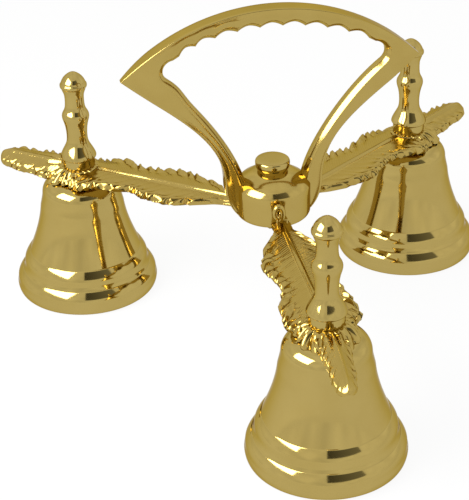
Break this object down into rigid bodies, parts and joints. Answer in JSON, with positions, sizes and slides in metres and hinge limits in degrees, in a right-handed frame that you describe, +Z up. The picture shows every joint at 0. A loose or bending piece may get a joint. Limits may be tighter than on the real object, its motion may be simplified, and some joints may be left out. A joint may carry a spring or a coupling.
{
  "type": "hand bell chime",
  "caption": "Brass hand chime: flared bells hang under feather-shaped arms round a central hub, with turned finials, swinging clappers and an arched finger-grip handle.",
  "frame": {"origin": "on the table plane under the rims, under the middle of the chime's footprint", "axes": "+Z up; X along the hand loop, so that +X is the right arm's side; the front arm points to -Y"},
  "size_m": [0.2232, 0.2293, 0.1527],
  "materials": {
    "cast_brass": "polished casting",
    "turned_brass": "turned and polished",
    "fixing_brass": "plain machined",
    "clapper_brass": "dull drawn wire and turned ball"
  },
  "bodies": {
    "frame": {"handle_and_hub": "cast_brass", "hub_base_plate": "fixing_brass", "centre_stud": "fixing_brass", "centre_cap_nut": "turned_brass", "centre_washer": "fixing_brass", "centre_nut": "fixing_brass", "front_arm": "cast_brass", "front_arm_screw": "fixing_brass", "front_bell": "turned_brass", "front_finial": "turned_brass", "front_hanger_eye": "fixing_brass", "front_crown_washer": "fixing_brass", "front_crown_nut": "fixing_brass", "left_arm": "cast_brass", "left_arm_screw": "fixing_brass", "left_bell": "turned_brass", "left_finial": "turned_brass", "left_hanger_eye": "fixing_brass", "left_crown_washer": "fixing_brass", "left_crown_nut": "fixing_brass", "right_arm": "cast_brass", "right_arm_screw": "fixing_brass", "right_bell": "turned_brass", "right_finial": "turned_brass", "right_hanger_eye": "fixing_brass", "right_crown_washer": "fixing_brass", "right_crown_nut": "fixing_brass"},
    "front_link": {"front_clapper_link": "clapper_brass"},
    "front_clapper": {"front_clapper_rod": "clapper_brass", "front_clapper_ball": "clapper_brass"},
    "left_link": {"left_clapper_link": "clapper_brass"},
    "left_clapper": {"left_clapper_rod": "clapper_brass", "left_clapper_ball": "clapper_brass"},
    "right_link": {"right_clapper_link": "clapper_brass"},
    "right_clapper": {"right_clapper_rod": "clapper_brass", "right_clapper_ball": "clapper_brass"}
  },
  "joints": [
    {"name": "front_link_swing", "type": "hinge", "parent": "frame", "child": "front_link", "pos_m": [0, -0.07424, 0.0388], "axis": [0, -1, 0], "range_deg": [-26, 26]},
    {"name": "front_clapper_swing", "type": "hinge", "parent": "front_link", "child": "front_clapper", "pos_m": [0, -0.07424, 0.0334], "axis": [1, 0, 0], "range_deg": [-26, 26]},
    {"name": "left_link_swing", "type": "hinge", "parent": "frame", "child": "left_link", "pos_m": [-0.07787, 0.08194, 0.0388], "axis": [-0.7986, 0.6018, 0], "range_deg": [-26, 26]},
    {"name": "left_clapper_swing", "type": "hinge", "parent": "left_link", "child": "left_clapper", "pos_m": [-0.07787, 0.08194, 0.0334], "axis": [-0.6018, -0.7986, 0], "range_deg": [-26, 26]},
    {"name": "right_link_swing", "type": "hinge", "parent": "frame", "child": "right_link", "pos_m": [0.07787, 0.08194, 0.0388], "axis": [0.7986, 0.6018, 0], "range_deg": [-26, 26]},
    {"name": "right_clapper_swing", "type": "hinge", "parent": "right_link", "child": "right_clapper", "pos_m": [0.07787, 0.08194, 0.0334], "axis": [-0.6018, 0.7986, 0], "range_deg": [-26, 26]}
  ]
}
